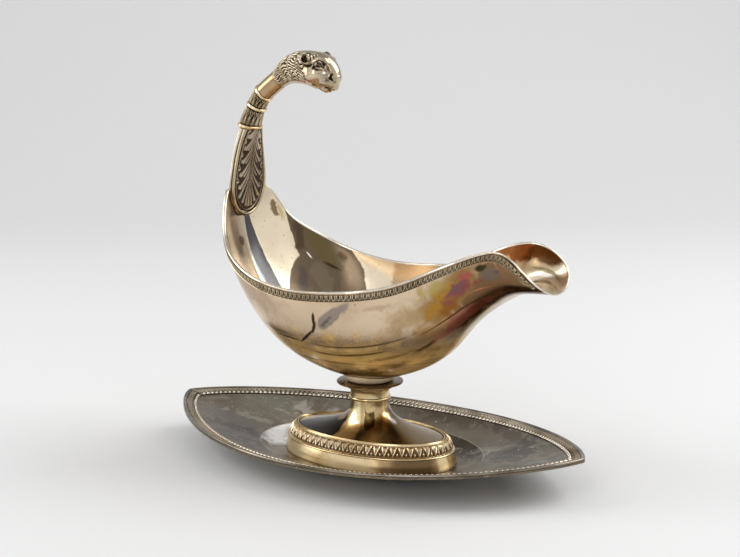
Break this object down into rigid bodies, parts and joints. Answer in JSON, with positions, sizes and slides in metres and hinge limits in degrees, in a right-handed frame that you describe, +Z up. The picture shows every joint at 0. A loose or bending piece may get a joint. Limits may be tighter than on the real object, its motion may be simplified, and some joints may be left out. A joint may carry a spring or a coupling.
{
  "type": "sauce boat with stand",
  "caption": "Footed sauce boat with a beast-head handle, leafed mouldings and a gilt oval foot, standing in the well of a pointed-oval tray.",
  "frame": {"origin": "on the table, under the middle of the tray and of the boat's foot", "axes": "+Z up, +X towards the spout, +Y to the left of someone who looks along +X; the handle rises at -X"},
  "size_m": [0.28, 0.1566, 0.244],
  "materials": {
    "gilt": "polished silver gilt, warm, worn on the high places",
    "silver": "polished silver, lightly tarnished",
    "tarnished_silver": "silver with grey-brown tarnish and fine scratches"
  },
  "bodies": {
    "stand": {"tray_dish": "tarnished_silver", "tray_edge_wire_front": "tarnished_silver", "tray_edge_wire_back": "tarnished_silver", "tray_leaf_band_front": "tarnished_silver", "tray_leaf_band_back": "tarnished_silver", "tray_bead_row_front": "silver", "tray_bead_row_back": "silver", "tray_foot_ring": "tarnished_silver"},
    "boat": {"foot_plinth": "gilt", "foot_fillet": "gilt", "foot_leaf_band": "gilt", "foot_step_wire_outer": "gilt", "foot_step_wire_inner": "gilt", "pedestal": "gilt", "stem_collar": "gilt", "milled_ring": "gilt", "drip_disc": "gilt", "neck_ring": "gilt", "bowl": "silver", "rim_wire": "silver", "rim_leaf_band_near": "tarnished_silver", "rim_leaf_band_far": "tarnished_silver", "handle_strap": "silver", "handle_leaf_panel": "tarnished_silver", "handle_panel_border": "gilt", "lower_collar": "gilt", "lower_leaf_sleeve": "silver", "middle_collar": "gilt", "upper_leaf_sleeve": "silver", "upper_collar": "gilt", "neck_sleeve": "gilt", "feline_head": "silver"}
  },
  "joints": [
    {"name": "boat_lift", "type": "slide", "parent": "stand", "child": "boat", "axis": [0, 0, 1], "range_m": [0, 0.06]}
  ]
}
